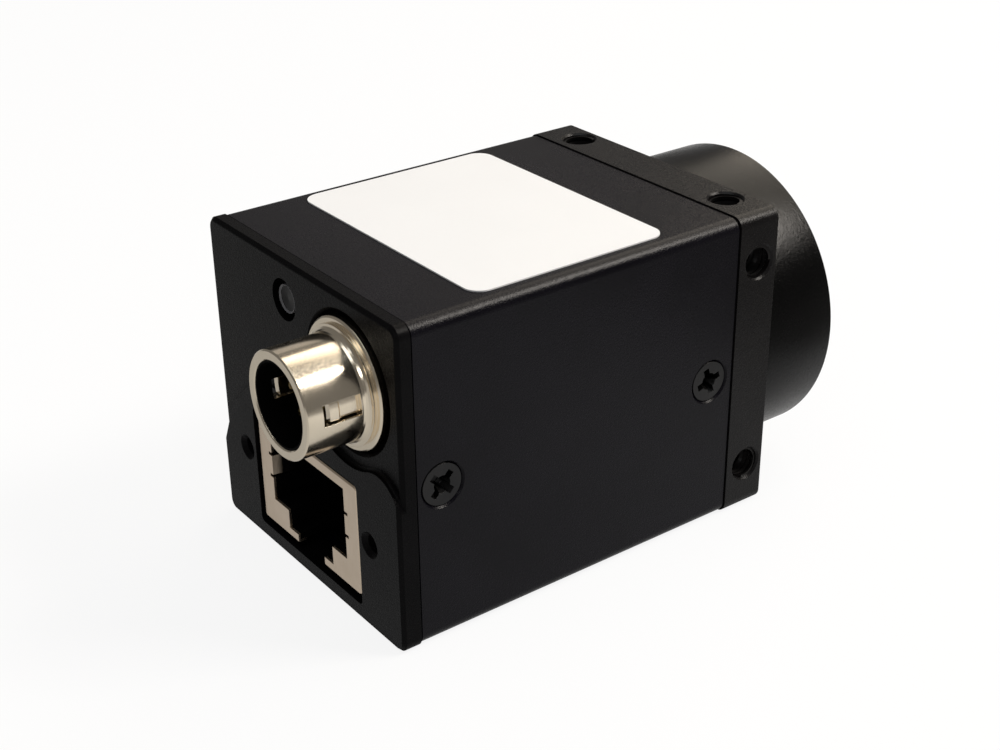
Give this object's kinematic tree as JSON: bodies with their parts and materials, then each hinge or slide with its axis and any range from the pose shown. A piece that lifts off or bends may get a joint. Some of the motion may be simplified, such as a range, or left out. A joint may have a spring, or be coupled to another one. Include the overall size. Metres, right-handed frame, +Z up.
{
  "type": "machine vision camera",
  "caption": "Compact 29 mm square machine vision camera with a C-mount lens thread, network jack, six-pin round connector and status light.",
  "frame": {"origin": "centre of the lens flange face, on the optical axis", "axes": "-Y along the optical axis out through the lens thread, +Y towards the connector face, +Z up towards the label"},
  "size_m": [0.029, 0.0543, 0.029],
  "materials": {
    "black_anodised": "satin",
    "nickel_plate": "polished",
    "sheet_steel": "satin",
    "screw_black": "satin",
    "stainless": "satin",
    "brass_part": "satin",
    "gold_contact": "polished",
    "black_plastic": "matte",
    "board_green": "satin",
    "ceramic_package": "matte",
    "clear_glass": "polished",
    "filter_glass": "polished",
    "silicon": "polished",
    "light_pipe": "satin",
    "led_white": "satin",
    "soft_rubber": "matte",
    "thermal_grey": "matte",
    "label_film": "matte"
  },
  "bodies": {
    "root": {"front_block": "black_anodised", "lens_mount_ring": "black_anodised", "filter_seal": "soft_rubber", "filter_glass": "filter_glass", "filter_retainer": "black_anodised", "sensor_package": "ceramic_package", "sensor_die": "silicon", "sensor_lid": "clear_glass", "sensor_gasket": "soft_rubber", "sensor_board": "board_green", "front_spacers": "brass_part", "front_stack_connector": "black_plastic", "processor_board": "board_green", "memory_chips": "black_plastic", "processor_chip": "black_plastic", "thermal_pad": "thermal_grey", "heat_spreader": "stainless", "rear_spacers": "brass_part", "rear_stack_connector": "black_plastic", "interface_board": "board_green", "board_screws": "stainless", "network_transformer": "black_plastic", "power_inductors": "black_plastic", "power_capacitors": "stainless", "housing_sleeve": "black_anodised", "rear_cover": "black_anodised", "jack_body": "black_plastic", "jack_shield": "sheet_steel", "jack_contacts": "gold_contact", "io_shell": "nickel_plate", "io_insulator": "black_plastic", "io_pins": "gold_contact", "io_nut": "nickel_plate", "io_board": "board_green", "io_header": "black_plastic", "light_pipe": "light_pipe", "status_led": "led_white", "front_side_screws": "screw_black", "rear_side_screws": "screw_black", "label": "label_film"}
  },
  "joints": []
}
